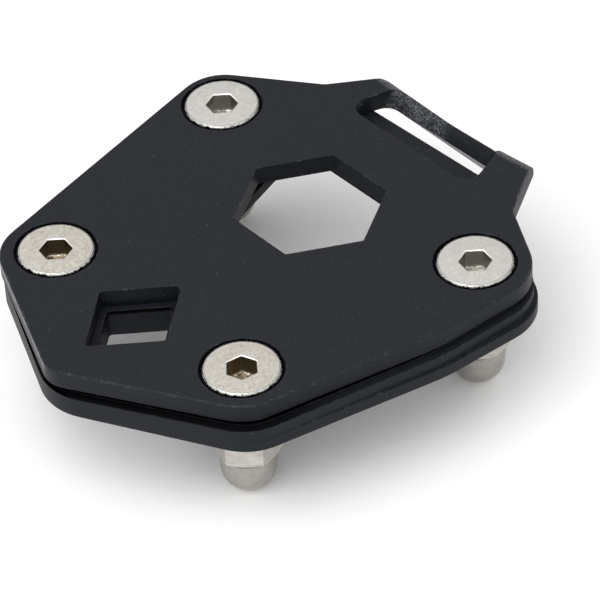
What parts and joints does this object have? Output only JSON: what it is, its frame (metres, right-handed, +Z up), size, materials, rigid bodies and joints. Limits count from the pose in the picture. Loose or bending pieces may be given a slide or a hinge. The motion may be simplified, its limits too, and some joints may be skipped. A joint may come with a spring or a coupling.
{
  "type": "kickstand foot enlarger",
  "caption": "Wide footplate that clamps round a motorbike side stand's foot: dark milled plate with hexagon, diamond and slot windows, bolted to a frame.",
  "frame": {"origin": "on the ground under the middle of the outline, level with the bottoms of the cap nuts", "axes": "+X towards the slotted nose, +Y to the left of the nose, +Z up, from the cap nuts to the plate"},
  "size_m": [0.0854, 0.0746, 0.024],
  "materials": {
    "plate_anodised": "fine bead-blasted charcoal anodising",
    "frame_anodised": "fine bead-blasted charcoal anodising",
    "nickel_steel": "satin nickel plating"
  },
  "bodies": {
    "root": {"ground_plate": "plate_anodised", "foot_frame": "frame_anodised", "screw_nose_left": "nickel_steel", "washer_nose_left": "nickel_steel", "cap_nut_nose_left": "nickel_steel", "screw_nose_right": "nickel_steel", "washer_nose_right": "nickel_steel", "cap_nut_nose_right": "nickel_steel", "screw_tail_left": "nickel_steel", "washer_tail_left": "nickel_steel", "cap_nut_tail_left": "nickel_steel", "screw_tail_right": "nickel_steel", "washer_tail_right": "nickel_steel", "cap_nut_tail_right": "nickel_steel"}
  },
  "joints": []
}
